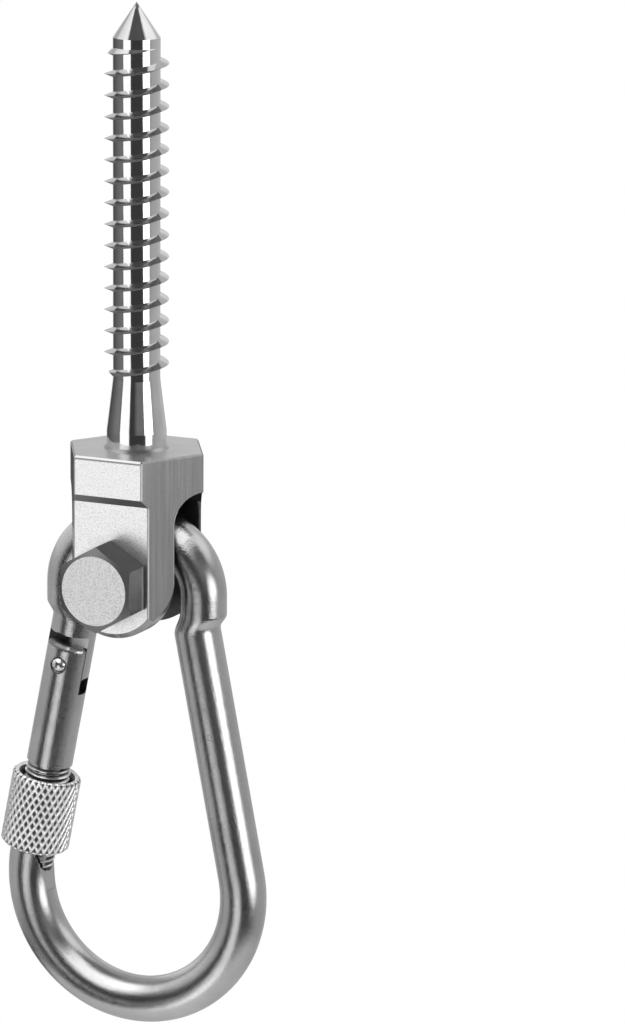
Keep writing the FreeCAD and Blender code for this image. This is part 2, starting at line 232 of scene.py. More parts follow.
def mesh_from(name, bm, crease):
    """Turns a bmesh into a mesh on the gate's axis, smooth but for creases over an angle in degrees."""
    bmesh.ops.recalc_face_normals(bm, faces=bm.faces)
    for face in bm.faces:
        face.smooth = True
    bm.transform(gate_matrix())
    mesh = bpy.data.meshes.new(name)
    bm.to_mesh(mesh)
    bm.free()
    mesh.set_sharp_from_angle(angle=math.radians(crease))
    return mesh


def polar(radius, angle, height):
    """Point at a radius and an angle round the Z axis."""
    return radius * math.cos(angle), radius * math.sin(angle), height


def ring_of(bm, radii, height):
    """Vertices of a ring round the Z axis, with a radius for each column."""
    ring = []
    for i, radius in enumerate(radii):
        ring.append(bm.verts.new(polar(radius, FULL_TURN * i / len(radii), height)))
    return ring


def skin(bm, outlines):
    """Faces between closed outlines that follow each other."""
    for a, b in zip(outlines, outlines[1:]):
        for i in range(len(a)):
            j = (i + 1) % len(a)
            bm.faces.new((a[i], a[j], b[j], b[i]))


def cap_ends(bm, outlines):
    """Faces over the first and the last outline."""
    bm.faces.new(outlines[0])
    bm.faces.new(reversed(outlines[-1]))


# Meshes of the added pieces

# Angles in degrees over which an edge stays sharp
LOCK_CREASE = 50
THREAD_CREASE = 30
COIL_CREASE = 50

# Half widths of the fine thread's foot and crest in pitches, and its least rise, as a share
RIDGE_FOOT = 0.46
RIDGE_LAND = 0.07
RIDGE_STUB = 0.02

# Turns over which the thread rises at its ends
THREAD_FADE = 0.35
LIP_FADE = 0.1


def knurl_height(s, column, row):
    """Height of the knurl's crossed ridges, from 0 in a pit to 1 on a ridge."""

    def ridge_height(count):
        off = abs((count / s.steps + 0.5) % 1.0 - 0.5)
        return min(1.0, max(0.0, (s.ridge - off) / (s.ridge - s.land)))

    return max(s.cross * ridge_height(column + row), ridge_height(column - row))


def lock_mesh(s):
    """Knurled lock: crossed ridges outside, bevelled ends, cone mouth and stepped bore."""
    bm = bmesh.new()
    columns = s.lines * s.steps
    top = s.bottom + s.length
    band = s.length - 2 * s.chamfer
    rows = round(band / s.period * s.steps)
    end_radius = s.crest - s.chamfer
    bore_top = s.bottom + s.bore_length

    def plain_ring(radius, height):
        return ring_of(bm, [radius] * columns, height)

    rings = [plain_ring(s.bore, s.bottom), plain_ring(end_radius, s.bottom)]
    for row in range(rows + 1):
        radii = [s.crest - s.depth * (1 - knurl_height(s, i, row)) for i in range(columns)]
        rings.append(ring_of(bm, radii, s.bottom + s.chamfer + band * row / rows))
    rings += [
        plain_ring(end_radius, top),
        plain_ring(s.mouth, top),
        plain_ring(s.relief, top - s.mouth_depth),
        plain_ring(s.relief, bore_top),
        plain_ring(s.bore, bore_top),
    ]
    skin(bm, rings + rings[:1])
    return mesh_from("screw_lock_knurl", bm, LOCK_CREASE)


def ridge_bmesh(s, low, high, fade):
    """Helical ridge between two heights, which rises from the root over some turns at its ends."""
    bm = bmesh.new()
    turns = (high - low) / s.pitch
    foot = RIDGE_FOOT * s.pitch
    land = RIDGE_LAND * s.pitch
    sections = []
    for k in range(round(turns * s.steps) + 1):
        turn = k / s.steps
        rise = min(1.0, turn / fade, (turns - turn) / fade)
        crest = s.root + (s.crest - s.root) * max(rise, RIDGE_STUB)
        middle = low + turn * s.pitch
        outline = [(s.root, -foot), (crest, -land), (crest, land), (s.root, foot)]
        points = [polar(radius, FULL_TURN * turn, middle + offset) for radius, offset in outline]
        sections.append([bm.verts.new(point) for point in points])
    skin(bm, sections)
    cap_ends(bm, sections)
    return bm


def gate_thread_mesh(s):
    """Full fine thread on the gate's end."""
    bm = ridge_bmesh(s, s.bottom + s.pitch / 2, s.top - s.pitch / 2, THREAD_FADE)
    return mesh_from("gate_thread", bm, THREAD_CREASE)


def lip_thread_mesh(s, lock_bottom):
    """The thread's run on the lip, cut off along the lip's slope."""
    bm = ridge_bmesh(s, s.lip_bottom, s.bottom + s.pitch / 2, LIP_FADE)
    bmesh.ops.bisect_plane(
        bm,
        geom=bm.verts[:] + bm.edges[:] + bm.faces[:],
        plane_co=(s.lip_start, 0, lock_bottom),
        plane_no=Vector((1, 0, s.lip_slope)).normalized(),
        clear_inner=True,
    )
    bmesh.ops.holes_fill(bm, edges=[e for e in bm.edges if e.is_boundary])
    return mesh_from("lip_thread", bm, THREAD_CREASE)


def coil_mesh(s):
    """Round-wire coil spring between the bore's floor and the plunger."""
    bm = bmesh.new()
    low = s.bottom + s.gap + s.wire
    rise = s.top - s.gap - s.wire - low
    steps = s.turns * s.steps
    sections = []
    for k in range(steps + 1):
        middle = low + rise * k / steps
        section = []
        for i in range(s.sides):
            around = FULL_TURN * i / s.sides
            radius = s.coil + s.wire * math.cos(around)
            height = middle + s.wire * math.sin(around)
            section.append(bm.verts.new(polar(radius, FULL_TURN * k / s.steps, height)))
        sections.append(section)
    skin(bm, sections)
    cap_ends(bm, sections)
    return mesh_from("spring_coil", bm, COIL_CREASE)


# Shader helpers

# Sockets of a Mix node that hold its factor and two colours, and its colour result
MIX_INPUTS = (0, 6, 7)
MIX_RESULT = 2


class TreeMaker:
    """Adds linked nodes to a node tree."""

    def __init__(self, tree):
        self.tree = tree

    def plug(self, target, value):
        """Links a socket to a value that is another socket, or sets it."""
        if isinstance(value, bpy.types.NodeSocket):
            self.tree.links.new(value, target)
        else:
            target.default_value = value

    def node(self, kind, **inputs):
        """Node of a kind with its named inputs."""
        made = self.tree.nodes.new(kind)
        for name, value in inputs.items():
            self.plug(made.inputs[name.replace("_", " ")], value)
        return made

    def operation(self, kind, operation, values):
        """Outputs of a math node of a kind."""
        made = self.tree.nodes.new(kind)
        made.operation = operation
        for target, value in zip(made.inputs, values):
            self.plug(target, value)
        return made.outputs

    def math(self, operation, *values):
        """Number worked out from numbers."""
        return self.operation("ShaderNodeMath", operation, values)["Value"]

    def vector(self, operation, *values):
        """Outputs of an operation on vectors."""
        return self.operation("ShaderNodeVectorMath", operation, values)

    def above(self, value, limit):
        """Mask of where a value is over a limit."""
        return self.math("GREATER_THAN", value, limit)

    def below(self, value, limit):
        """Mask of where a value is under a limit."""
        return self.math("LESS_THAN", value, limit)

    def size(self, value):
        """Value without its sign."""
        return self.math("ABSOLUTE", value)

    def reach(self, a, b):
        """Distance from two distances square to each other."""
        return self.math("SQRT", self.math("MULTIPLY_ADD", a, a, self.math("POWER", b, 2.0)))

    def all_of(self, *masks):
        """Product of masks."""
        product = masks[0]
        for mask in masks[1:]:
            product = self.math("MULTIPLY", product, mask)
        return product

    def opposite(self, mask):
        """Mask of everywhere else."""
        return self.math("SUBTRACT", 1.0, mask)

    def total(self, start, *shares):
        """A start value and shares of masks added to it."""
        for mask, amount in shares:
            start = self.math("MULTIPLY_ADD", mask, amount, start)
        return start

    def ramp(self, value, low, high, out_low=0.0, out_high=1.0):
        """Smooth step of a value between two limits."""
        made = self.node("ShaderNodeMapRange", Value=value, From_Min=low, From_Max=high)
        made.interpolation_type = "SMOOTHSTEP"
        self.plug(made.inputs["To Min"], out_low)
        self.plug(made.inputs["To Max"], out_high)
        return made.outputs["Result"]

    def mix(self, mask, a, b):
        """Colour between two colours."""
        made = self.tree.nodes.new("ShaderNodeMix")
        made.data_type = "RGBA"
        for socket, value in zip(MIX_INPUTS, (mask, a, b)):
            self.plug(made.inputs[socket], value)
        return made.outputs[MIX_RESULT]

    def layers(self, colour, *coats):
        """Colour under coats that are laid over it in turn, each through its mask."""
        for mask, coat in coats:
            colour = self.mix(mask, colour, coat)
        return colour

    def noise(self, vector, scale, detail, roughness=0.5):
        """Noise from about 0 to 1."""
        made = self.node("ShaderNodeTexNoise", Vector=vector, Scale=scale, Detail=detail)
        self.plug(made.inputs["Roughness"], roughness)
        return made.outputs["Fac"]

    def place(self):
        """Place on the piece at rest."""
        return self.node("ShaderNodeTexCoord").outputs["Object"]

    def normal(self):
        """Way that the surface faces on the piece at rest."""
        return self.node("ShaderNodeTexCoord").outputs["Normal"]

    def axes(self, vector):
        """X, Y and Z of a vector."""
        return self.node("ShaderNodeSeparateXYZ", Vector=vector).outputs

    def group(self, name, **values):
        """Puts a shared group into a material with its own values."""
        made = self.tree.nodes.new("ShaderNodeGroup")
        made.node_tree = bpy.data.node_groups[name]
        for socket, value in values.items():
            made.inputs[socket.replace("_", " ")].default_value = value
        return made.outputs


def shade(colour, share):
    """A colour made darker or lighter by a share."""
    return (*(share * c for c in colour[:3]), 1)


def shades(colour, *shares):
    """Several shades of a colour."""
    return [shade(colour, share) for share in shares]


# Shader groups

# Pits of the steel grain: their scale beside the grain's, the noise where they start and are full,
# and how far the Speckle input moves the start
PIT_SCALE = 0.83
PIT_START = 0.62
PIT_FULL = 0.72
PIT_SPREAD = -0.2

# Noise where a mask made from it starts and where it is full
NOISE_LIMITS = (0.3, 0.7)


def new_group(name, inputs, outputs):
    """Node group with value inputs and outputs: its helper, what it is given and what it puts out."""
    tree = bpy.data.node_groups.new(name, "ShaderNodeTree")
    for socket, default in inputs:
        made = tree.interface.new_socket(socket, in_out="INPUT", socket_type="NodeSocketFloat")
        made.default_value = default
    for socket in outputs:
        tree.interface.new_socket(socket, in_out="OUTPUT", socket_type="NodeSocketFloat")
    given = tree.nodes.new("NodeGroupInput").outputs
    put = tree.nodes.new("NodeGroupOutput").inputs
    return TreeMaker(tree), given, put


def grain_group():
    """Fine pitted grain of blasted or tumbled steel: a height and a speckle mask."""
    maker, given, put = new_group("steel_grain", [("Size", 0.25), ("Speckle", 0.5)], ["Height", "Mask"])
    scale = maker.math("DIVIDE", 1.0 / MM, given["Size"])
    maker.plug(put["Height"], maker.noise(maker.place(), scale, detail=2.0, roughness=0.55))
    pits = maker.noise(maker.place(), maker.math("MULTIPLY", scale, PIT_SCALE), detail=1.0)
    start = maker.math("MULTIPLY_ADD", given["Speckle"], PIT_SPREAD, PIT_START)
    maker.plug(put["Mask"], maker.ramp(pits, start, PIT_FULL))


def streak_group():
    """Lines left by drawing or grinding, long along the axis with the smallest number."""
    axes = ["Along X", "Along Y", "Along Z"]
    maker, given, put = new_group("draw_streaks", [(axis, 1.0) for axis in axes], ["Streak"])
    stretch = maker.node("ShaderNodeCombineXYZ", X=given[axes[0]], Y=given[axes[1]], Z=given[axes[2]])
    scaled = maker.vector("MULTIPLY", maker.place(), stretch.outputs["Vector"])["Vector"]
    maker.plug(put["Streak"], maker.noise(scaled, 1.0, detail=3.0, roughness=0.6))


def handling_group():
    """Slow change of tone from handling, from 0 to 1."""
    maker, given, put = new_group("handling_tone", [("Size", 8.0)], ["Tone"])
    scale = maker.math("DIVIDE", 1.0 / MM, given["Size"])
    maker.plug(put["Tone"], maker.ramp(maker.noise(maker.place(), scale, detail=3.0), *NOISE_LIMITS))


def gate_place_group():
    """Place in the gate's own axes, in millimetres: distance from its axis, height on it, way inwards."""
    maker, given, put = new_group("gate_place", [("Unit", 1.0 / MM)], ["Distance", "Height", "Inward"])
    reach = maker.vector("SUBTRACT", maker.place(), GATE_FOOT)["Vector"]
    away = maker.vector("LENGTH", maker.vector("CROSS_PRODUCT", reach, GATE_UP)["Vector"])["Value"]
    maker.plug(put["Distance"], maker.math("MULTIPLY", away, given["Unit"]))
    for socket, axis in (("Height", GATE_UP), ("Inward", GATE_IN)):
        along = maker.vector("DOT_PRODUCT", reach, axis)["Value"]
        maker.plug(put[socket], maker.math("MULTIPLY", along, given["Unit"]))


# Finishes

# Heights on the clevis where its surfaces change
FILLET_TOP = 1.2 * MM
BLOCK_TOP = 0.02 * MM
BEVEL_FOOT = -0.35 * MM
EDGE_FOOT = -0.62 * MM
LEDGE_FOOT = -9.0 * MM
SLOT_SPRINGING = -11.9 * MM

# Distances from the clevis's middle planes
FACE_DISTANCE = 9.0 * MM
SLOT_RADIUS = 5.25 * MM
SLOT_EDGE_ACROSS = 4.6 * MM
SLOT_EDGE_ALONG = 9.3 * MM

# Shares of a normal along an axis, from where a mask starts to where it is full
SQUARE_ON = (0.97, 0.995)
NEARLY_SQUARE = (0.9, 0.97)
LEVEL = (0.9, 0.99)
SLOPE_STARTS = (0.2, 0.4)
SLOPE_ENDS = (0.95, 0.85)
BEVEL_RISES = (0.3, 0.5)
BEVEL_FACES = (0.45, 0.6)
LEDGE_DROPS = (-0.4, -0.6)
FLANK_DROPS = (-0.2, -0.45)
CORNER_STARTS = (0.56, 0.66)
CORNER_ENDS = (0.985, 0.95)
CORNER_UPRIGHT = (0.4, 0.2)
CONE_STARTS = (0.15, 0.35)
UPPER_FACETS = (0.3, 0.8)
RIM_RISES = (0.1, 0.35)

# Heights on the gate and distances from its axis in millimetres, as the gate_place group gives them
TANG_FOOT = 28.0
FORK_ROUND = 37.0
FORK_END = 38.9
HINGE_GAP_TOP = 41.0
TANG_REACH = 4.3
FORK_REACH = 3.9
SEAT_RADIUS = 1.6

# Limits on the way inwards in millimetres, from where a mask starts to where it is full
TANG_OUTER = (1.0, -0.2)
TANG_INNER = (-0.2, 0.4)
RIM_OUTER = (1.4, 0.6)

# Distances from the gate's middle plane
FORK_SLOT_HALF = 1.6 * MM
SEAT_DISTANCE = 3.2 * MM

# Depths in the knurl, as shares of a pit, from where a pit's painted shade starts to where it is full
PIT_DARK_STARTS = 0.2
PIT_DARK_FULL = 0.8

# Depths of the bump in millimetres
BLASTED_BUMP = 0.035
TUMBLED_BUMP = 0.034
MOULDED_BUMP = 0.01


def new_finish(name, metallic=1.0):
    """New material with a Principled shader, its helper and the shader's inputs."""
    material = bpy.data.materials.new(name)
    material.use_nodes = True
    shader = material.node_tree.nodes["Principled BSDF"].inputs
    shader["Metallic"].default_value = metallic
    return material, TreeMaker(material.node_tree), shader


def set_bump(maker, shader, height, depth):
    """Bump from a height, with its depth in millimetres."""
    bump = maker.node("ShaderNodeBump", Height=height, Distance=depth * MM, Strength=1.0)
    maker.plug(shader["Normal"], bump.outputs["Normal"])


def clevis_masks(maker):
    """Masks of the clevis's kinds of surface, told apart by their place and slope."""
    place = maker.axes(maker.place())
    normal = maker.axes(maker.normal())
    across = maker.size(place["Y"])
    height = place["Z"]
    facing = maker.size(normal["Y"])
    rising = normal["Z"]
    screw = maker.above(height, BLOCK_TOP)
    block = maker.opposite(screw)
    outside = maker.above(across, FACE_DISTANCE)
    face = maker.all_of(maker.ramp(facing, *SQUARE_ON), outside, block)
    over_springing = maker.math("MAXIMUM", maker.math("SUBTRACT", height, SLOT_SPRINGING), 0.0)
    slot = maker.all_of(maker.below(maker.reach(across, over_springing), SLOT_RADIUS), block)
    near_top = maker.all_of(maker.above(height, BEVEL_FOOT), block)
    top = maker.all_of(maker.ramp(rising, *LEVEL), near_top)
    sloped = maker.all_of(maker.ramp(rising, *SLOPE_STARTS), maker.ramp(rising, *SLOPE_ENDS))
    return {
        "screw": screw,
        "face": face,
        "slot": slot,
        "slot_edge": maker.all_of(
            slot,
            maker.above(across, SLOT_EDGE_ACROSS),
            maker.above(maker.size(place["X"]), SLOT_EDGE_ALONG),
        ),
        "top": top,
        "bevel": maker.all_of(
            maker.ramp(rising, *BEVEL_RISES),
            maker.opposite(top),
            near_top,
            maker.ramp(facing, *BEVEL_FACES),
        ),
        "ledge": maker.all_of(maker.ramp(rising, *LEDGE_DROPS), maker.above(height, LEDGE_FOOT)),
        "under_bevel": maker.all_of(face, maker.above(height, EDGE_FOOT)),
        "fillet": maker.all_of(sloped, screw, maker.below(height, FILLET_TOP)),
        "lower_flank": maker.all_of(screw, maker.ramp(rising, *FLANK_DROPS)),
        "corner": maker.all_of(
            maker.ramp(facing, *CORNER_STARTS),
            maker.ramp(facing, *CORNER_ENDS),
            maker.ramp(maker.size(rising), *CORNER_UPRIGHT),
            outside,
            block,
        ),
    }


def clevis_finish(colours):
    """Polished screw, blasted outer faces, ground flats and a polished top, with painted highlights on the
    top bevel and the corners, and painted shade in the slot, under the top bevel, on the ledge, on the
    neck's fillet and under the thread's flanks.
    """
    material, maker, shader = new_finish("clevis_finish")
    on = clevis_masks(maker)
    grain = maker.group("steel_grain", Size=0.19, Speckle=0.8)
    streak = maker.group("draw_streaks", Along_X=1300.0, Along_Y=1300.0, Along_Z=50.0)["Streak"]
    tone = maker.group("handling_tone", Size=5.0)["Tone"]
    speckle = maker.math("MULTIPLY", grain["Mask"], 0.65)
    colour = maker.layers(
        maker.mix(maker.ramp(streak, *NOISE_LIMITS), *shades(colours.ground, 0.87, 1.08)),
        (on["face"], maker.mix(speckle, colours.blasted, colours.speckle)),
        # Painted shade: a dark line along the blasted faces under the top bevel
        (on["under_bevel"], shade(colours.ground, 0.7)),
        # Painted highlight: lighter, rougher steel along the clevis's upright corners
        (on["corner"], shade(colours.polished, 1.3)),
        # Painted shade on the downward-facing ledge
        (on["ledge"], shade(colours.ground, 0.8)),
        (on["top"], maker.mix(tone, *shades(colours.polished, 1.06, 0.97))),
        # Painted highlight along the top bevel
        (on["bevel"], shade(colours.polished, 1.2)),
        # Painted shade inside the slot; its outer edges keep the polished colour
        (on["slot"], maker.mix(tone, *shades(colours.slot_shade, 1.0, 1.6))),
        (on["slot_edge"], colours.polished),
        (on["screw"], maker.mix(tone, *shades(colours.polished, 1.0, 0.9))),
        # Painted shade on the fillet at the foot of the screw's neck
        (on["fillet"], shade(colours.polished, 0.6)),
        # Painted shade on the screw thread's downward-facing flanks
        (on["lower_flank"], shade(colours.polished, 0.42)),
    )
    maker.plug(shader["Base Color"], colour)
    rough = maker.total(
        0.2,
        (on["face"], 0.09),
        (on["top"], 0.2),
        (on["slot"], 0.25),
        (on["screw"], -0.11),
        (on["fillet"], 0.2),
        (on["ledge"], 0.4),
        (on["corner"], 0.4),
    )
    maker.plug(shader["Roughness"], rough)
    set_bump(maker, shader, maker.math("MULTIPLY", grain["Height"], on["face"]), BLASTED_BUMP)
    return material


def bolt_finish(colours):
    """Bolt and nut with dull drawn sides and blasted end faces; the upward-facing facets and the chamfer
    are painted darker as shade.
    """
    material, maker, shader = new_finish("bolt_finish")
    normal = maker.axes(maker.normal())
    facing = maker.size(normal["Y"])
    on_face = maker.ramp(facing, *SQUARE_ON)
    on_cone = maker.ramp(facing, *CONE_STARTS)
    grain = maker.group("steel_grain", Size=0.2, Speckle=1.0)
    streak = maker.group("draw_streaks", Along_X=2400.0, Along_Y=90.0, Along_Z=2400.0)["Streak"]
    speckle = maker.math("MULTIPLY", grain["Mask"], 0.5)
    colour = maker.layers(
        maker.mix(streak, *shades(colours.dull, 1.4, 1.9)),
        # Painted shade on the upward-facing facets
        (maker.ramp(normal["Z"], *UPPER_FACETS), shade(colours.dull, 0.44)),
        # Painted shade on the chamfer round the end faces
        (on_cone, shade(colours.dull, 0.9)),
        (on_face, maker.mix(speckle, shade(colours.blasted, 0.96), shade(colours.speckle, 0.8))),
    )
    maker.plug(shader["Base Color"], colour)
    maker.plug(shader["Roughness"], maker.total(0.22, (on_cone, 0.25), (on_face, -0.05)))
    set_bump(maker, shader, maker.math("MULTIPLY", grain["Height"], on_face), BLASTED_BUMP)
    return material


def wire_finish(name, colours, crevice_shade_mask, painted_highlight_mask=None):
    """Tumbled satin wire with fine grain, painted shade in its gaps and, where one is given, a corner with
    a painted highlight.
    """
    material, maker, shader = new_finish(name)
    grain = maker.group("steel_grain", Size=0.24, Speckle=0.5)
    tone = maker.group("handling_tone", Size=6.0)["Tone"]
    speckle = maker.math("MULTIPLY", grain["Mask"], 0.3)
    colour = maker.mix(tone, *shades(colours.tumbled, 1.0, 0.88))
    colour = maker.mix(speckle, colour, shade(colours.tumbled, 0.7))
    rough = maker.ramp(grain["Height"], *NOISE_LIMITS, 0.16, 0.26)
    if painted_highlight_mask:
        painted_highlight = painted_highlight_mask(maker)
        # Painted highlight: lighter, rougher steel on the given corner
        colour = maker.mix(painted_highlight, colour, shade(colours.polished, 1.3))
        rough = maker.total(rough, (painted_highlight, 0.55))
    crevice_shade = crevice_shade_mask(maker)
    # Painted shade in the gaps: darker, rougher steel under the mask
    maker.plug(shader["Base Color"], maker.mix(crevice_shade, colour, shade(colours.crevice_shade, 2.6)))
    maker.plug(shader["Roughness"], maker.total(rough, (crevice_shade, 0.3)))
    set_bump(maker, shader, grain["Height"], TUMBLED_BUMP)
    return material


def tang_flats(maker, gate, low):
    """Mask of the tang's flats, from a height to the top of the hinge gap."""
    return maker.all_of(
        maker.ramp(maker.size(maker.axes(maker.normal())["Y"]), *NEARLY_SQUARE),
        maker.below(gate["Distance"], TANG_REACH),
        maker.above(gate["Height"], low),
        maker.below(gate["Height"], HINGE_GAP_TOP),
    )


def tang_gap_shade(maker):
    """Mask of painted shade on the tang's flats in the hinge gap and the fork, apart from the inner corner
    of the hinge gap.
    """
    gate = maker.group("gate_place")
    outer = maker.ramp(gate["Inward"], *TANG_OUTER)
    in_fork = maker.below(gate["Height"], FORK_END)
    return maker.all_of(tang_flats(maker, gate, TANG_FOOT), maker.math("MAXIMUM", outer, in_fork))


def tang_corner(maker):
    """Mask of the tang's flats at the inner corner of the hinge gap, which gets a painted highlight."""
    gate = maker.group("gate_place")
    return maker.all_of(tang_flats(maker, gate, FORK_END), maker.ramp(gate["Inward"], *TANG_INNER))


def fork_shade(maker):
    """Mask of painted shade inside the gate's fork and bore, round the rivet's seats and on the fork's
    outer rim.
    """
    gate = maker.group("gate_place")
    across = maker.size(maker.axes(maker.place())["Y"])
    inside = maker.all_of(
        maker.below(across, FORK_SLOT_HALF),
        maker.below(gate["Distance"], FORK_REACH),
        maker.below(gate["Height"], FORK_END),
    )
    over_rivet = maker.math("SUBTRACT", gate["Height"], RIVET_HEIGHT / MM)
    from_rivet = maker.reach(over_rivet, gate["Inward"])
    seat = maker.all_of(maker.below(from_rivet, SEAT_RADIUS), maker.above(across, SEAT_DISTANCE))
    upward = maker.vector("DOT_PRODUCT", maker.normal(), GATE_UP)["Value"]
    rim = maker.all_of(
        maker.above(gate["Height"], FORK_ROUND),
        maker.ramp(upward, *RIM_RISES),
        maker.ramp(gate["Inward"], *RIM_OUTER),
        maker.opposite(inside),
    )
    return maker.total(inside, (seat, 0.12), (rim, 0.75))


def bright_finish(name, colours, rough):
    """Small bright turned pieces."""
    material, maker, shader = new_finish(name)
    tone = maker.group("handling_tone", Size=1.5)["Tone"]
    maker.plug(shader["Base Color"], maker.mix(tone, *shades(colours.polished, 1.0, 0.85)))
    maker.plug(shader["Roughness"], maker.ramp(tone, 0.0, 1.0, rough, rough + 0.08))
    return material


def knurl_finish(colours, s):
    """Ridges and end lands lightened as painted highlight over pits darkened as painted shade, told apart
    by the distance from the gate's axis.
    """
    material, maker, shader = new_finish("knurl_finish")
    gate = maker.group("gate_place")
    dark_starts = (s.crest - PIT_DARK_STARTS * s.depth) / MM
    dark_full = (s.crest - PIT_DARK_FULL * s.depth) / MM
    pit = maker.all_of(
        maker.above(gate["Height"], (s.bottom + s.chamfer / 2) / MM),
        maker.below(gate["Height"], (s.bottom + s.length - s.chamfer / 2) / MM),
        maker.ramp(gate["Distance"], dark_starts, dark_full),
    )
    tone = maker.group("handling_tone", Size=1.2)["Tone"]
    # Painted highlight: ridges and end lands up to a third lighter than the polished colour
    bright = maker.mix(tone, *shades(colours.polished, 1.32, 1.0))
    # Painted shade in the pits
    maker.plug(shader["Base Color"], maker.mix(pit, bright, shade(colours.polished, 0.14)))
    maker.plug(shader["Roughness"], maker.ramp(pit, 0.0, 1.0, 0.3, 0.45))
    return material


def thread_finish(colours, s):
    """Thread crests in the polished colour over roots painted dark as shade."""
    material, maker, shader = new_finish("thread_finish")
    crest = maker.ramp(maker.group("gate_place")["Distance"], s.root / MM, s.crest / MM)
    # Painted shade at the thread's roots
    maker.plug(shader["Base Color"], maker.mix(crest, colours.crevice_shade, colours.polished))
    maker.plug(shader["Roughness"], maker.ramp(crest, 0.0, 1.0, 0.4, 0.18))
    return material


def ring_finish(colours):
    """Moulded plastic of the locking ring."""
    material, maker, shader = new_finish("ring_finish", metallic=0.0)
    grain = maker.group("steel_grain", Size=0.3, Speckle=0.4)
    speckle = maker.math("MULTIPLY", grain["Mask"], 0.2)
    maker.plug(shader["Base Color"], maker.mix(speckle, *shades(colours.ring, 1.0, 0.7)))
    shader["Roughness"].default_value = 0.5
    set_bump(maker, shader, grain["Height"], MOULDED_BUMP)
    return material


def dress(node, material):
    """Gives a CAD node a finish."""
    slots = frame["nodes"][node].data.materials
    slots.clear()
    slots.append(material)


# Studio

# Pieces that hang on the bolt, which the photograph lights apart from the screw and clevis
HOOK_NODES = ("hook_body", "gate", "hinge_rivet", "gate_plunger", "gate_spring", "knurled_nut")
HOOK_TRIM = ("screw_lock_knurl", "gate_thread", "lip_thread", "spring_coil")

# Soft boxes: azimuth in degrees from the front to the right, lower and upper ends, and width
LEFT_BOX = {"azimuth": -22.0, "low": -0.75, "high": 1.6, "width": 1.05}
RIGHT_DISK = {"azimuth": 75.0, "low": -0.42, "high": 0.3, "width": 1.0, "shape": "ELLIPSE"}
LOW_BOX = {"azimuth": -4.0, "low": -0.95, "high": -0.18, "width": 0.46}
LEFT_WALL = {"azimuth": -95.0, "low": -0.93, "high": 0.8, "width": 3.2}
LOCK_FILL = {"azimuth": 10.0, "low": -0.7, "high": 0.6, "width": 1.4}
TOP_BOX = {"place": (-0.04, -1.48, 1.4), "aim": (-0.04, -1.48, 0.0), "width": 2.03, "height": 3.05}

# Rings of the tent's cloth: stops of an azimuth in degrees from the front and a grey
LOW_CLOTH = [
    (-180, 0.6),
    (-150, 0.6),
    (-135, 0.45),
    (-124, 0.06),
    (-100, 0.12),
    (-60, 0.2),
    (-46, 0.2),
    (-40, 0.05),
    (58, 0.05),
    (86, 0.24),
    (94, 0.4),
    (112, 0.48),
    (179, 0.58),
]
LEVEL_CLOTH = [
    (-180, 0.85),
    (-110, 0.5),
    (-75, 0.45),
    (-50, 0.3),
    (-40, 0.05),
    (15, 0.05),
    (30, 0.25),
    (80, 0.25),
    (94, 0.3),
    (112, 0.48),
    (179, 0.6),
]
UPPER_CLOTH = [
    (-180, 0.55),
    (-110, 0.5),
    (-95, 0.9),
    (-50, 1.2),
    (-38, 1.2),
    (-28, 0.1),
    (80, 0.1),
    (97, 1.2),
    (150, 1.1),
    (172, 0.55),
]

# Heights on a tent of radius 1 over which one ring of cloth gives way to the next
LOW_TO_LEVEL = (-0.07, 0.1)
LEVEL_TO_UPPER = (0.37, 0.53)

# Dark cloth overhead and low behind: the way to its middle, its edges as cosines, and its grey
OVERHEAD_WAY = (0.0687, 0.0537, 0.9962)
OVERHEAD_EDGES = (0.865, 0.9)
OVERHEAD_CLOTH = 0.18
BEHIND_EDGES = (0.93, 0.985)
BEHIND_TOP = (0.0, -0.08)
BEHIND_CLOTH = 0.08

# Strength of the white world as light, and as it is seen and mirrored
SKY_LIGHT = 0.5
SKY_SEEN = 1.0

SENSOR_WIDTH = 36.0
CLIP_START = 0.01
FLOOR_SIDES = 96
FLOOR_GREYS = (0.82, 0.78)
TENT_COLUMNS = 48
TENT_ROWS = 24


def soft_box(name, glow, place, aim, width, height, shape="RECTANGLE"):
    """Soft box at a place, which faces a point."""
    lamp = bpy.data.lights.new(name, "AREA")
    lamp.shape = shape
    lamp.size = width
    lamp.size_y = height
    area = width * height * (math.pi / 4 if shape == "ELLIPSE" else 1)
    lamp.energy = glow * math.pi * area
    box = bpy.data.objects.new(name, lamp)
    bpy.context.scene.collection.objects.link(box)
    box.location = place
    box.rotation_euler = (Vector(aim) - Vector(place)).to_track_quat("-Z", "Y").to_euler()
    return box


def upright_box(name, glow, distance, azimuth, low, high, width, shape="RECTANGLE"):
    """Upright soft box at an azimuth from the front to the right, between two heights."""
    a = math.radians(azimuth)
    middle = (low + high) / 2
    place = (distance * math.sin(a), -distance * math.cos(a), middle)
    return soft_box(name, glow, place, (0, 0, middle), width, high - low, shape)


def light_link(box, pieces, state):
    """Keeps a soft box's light to some pieces, or off them."""
    group = bpy.data.collections.new(box.name)
    for piece in pieces:
        group.objects.link(piece)
    for member in group.collection_objects:
        member.light_linking.link_state = state
    box.light_linking.receiver_collection = group


